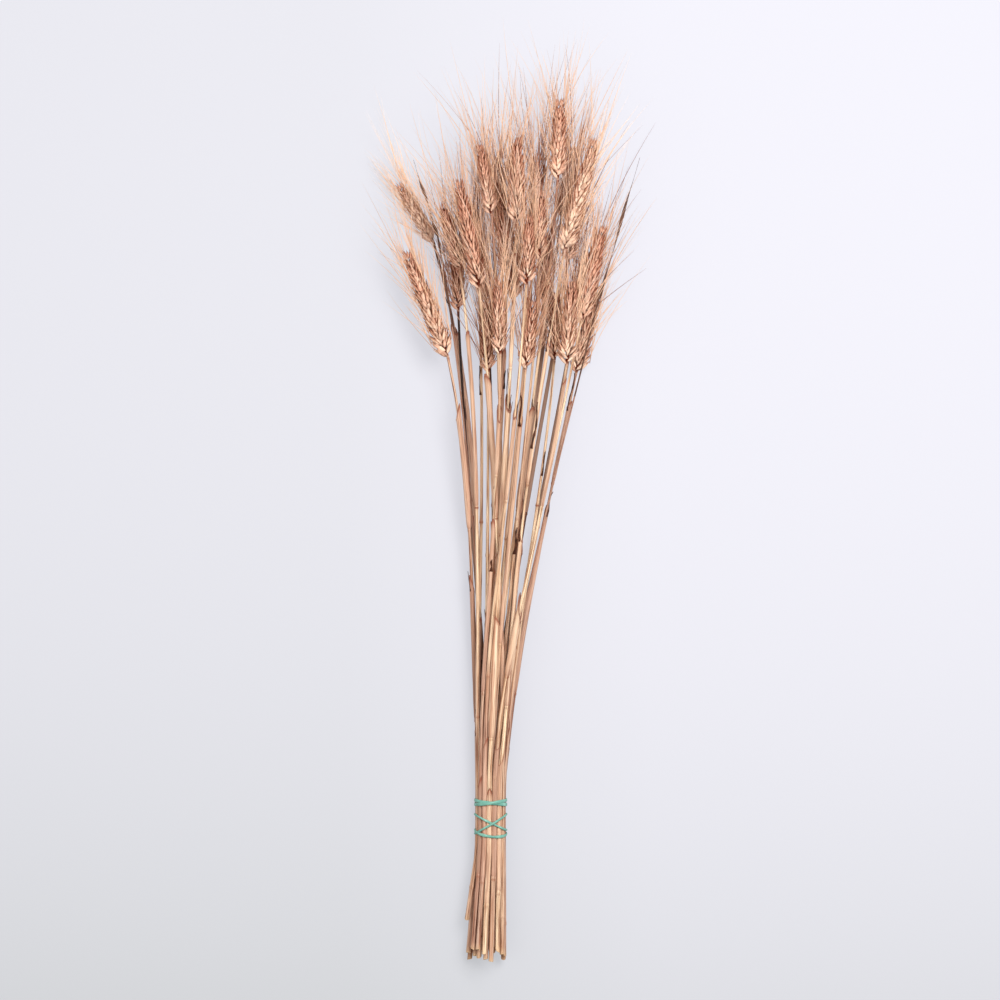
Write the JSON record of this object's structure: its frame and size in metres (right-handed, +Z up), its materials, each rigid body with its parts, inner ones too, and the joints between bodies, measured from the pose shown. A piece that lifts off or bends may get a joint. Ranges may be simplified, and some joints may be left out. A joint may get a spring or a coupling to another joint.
{
  "type": "bundle of dried wheat",
  "caption": "Tied bunch of dried bearded wheat lying on its side: straight straw stems, fanned ears with long awns, held low down by turquoise rubber bands.",
  "frame": {"origin": "on the surface that the bunch lies on, under the middle of its bounding box", "axes": "+Y from the cut stem ends towards the ears, along the bunch; +Z up from the surface; +X across, to the right as seen from above with the ears at the top"},
  "size_m": [0.2455, 0.7698, 0.1119],
  "materials": {
    "straw": "satin",
    "wheat_ear": "matt",
    "dry_leaf": "matt",
    "rubber_band": "satin"
  },
  "bodies": {
    "root": {"stem_01": "straw", "stem_02": "straw", "stem_03": "straw", "stem_04": "straw", "stem_05": "straw", "stem_06": "straw", "stem_07": "straw", "stem_08": "straw", "stem_09": "straw", "stem_10": "straw", "stem_11": "straw", "stem_12": "straw", "stem_13": "straw", "stem_14": "straw", "stem_15": "straw", "stem_16": "straw", "stem_17": "straw", "stem_18": "straw", "stem_19": "straw", "stem_20": "straw", "stem_21": "straw", "stem_22": "straw", "stem_23": "straw", "stem_24": "straw", "stem_25": "straw", "stem_26": "straw", "stem_27": "straw", "stem_28": "straw", "ear_01": "wheat_ear", "ear_02": "wheat_ear", "ear_03": "wheat_ear", "ear_04": "wheat_ear", "ear_05": "wheat_ear", "ear_06": "wheat_ear", "ear_07": "wheat_ear", "ear_08": "wheat_ear", "ear_09": "wheat_ear", "ear_10": "wheat_ear", "ear_11": "wheat_ear", "ear_12": "wheat_ear", "ear_13": "wheat_ear", "ear_14": "wheat_ear", "ear_15": "wheat_ear", "ear_16": "wheat_ear", "ear_17": "wheat_ear", "ear_18": "wheat_ear", "ear_19": "wheat_ear", "ear_20": "wheat_ear", "ear_21": "wheat_ear", "ear_22": "wheat_ear", "ear_23": "wheat_ear", "ear_24": "wheat_ear", "ear_25": "wheat_ear", "ear_26": "wheat_ear", "ear_27": "wheat_ear", "ear_28": "wheat_ear", "dry_blade_left": "dry_leaf", "dry_blade_right": "dry_leaf", "band_upper": "rubber_band", "band_lower": "rubber_band"}
  },
  "joints": []
}
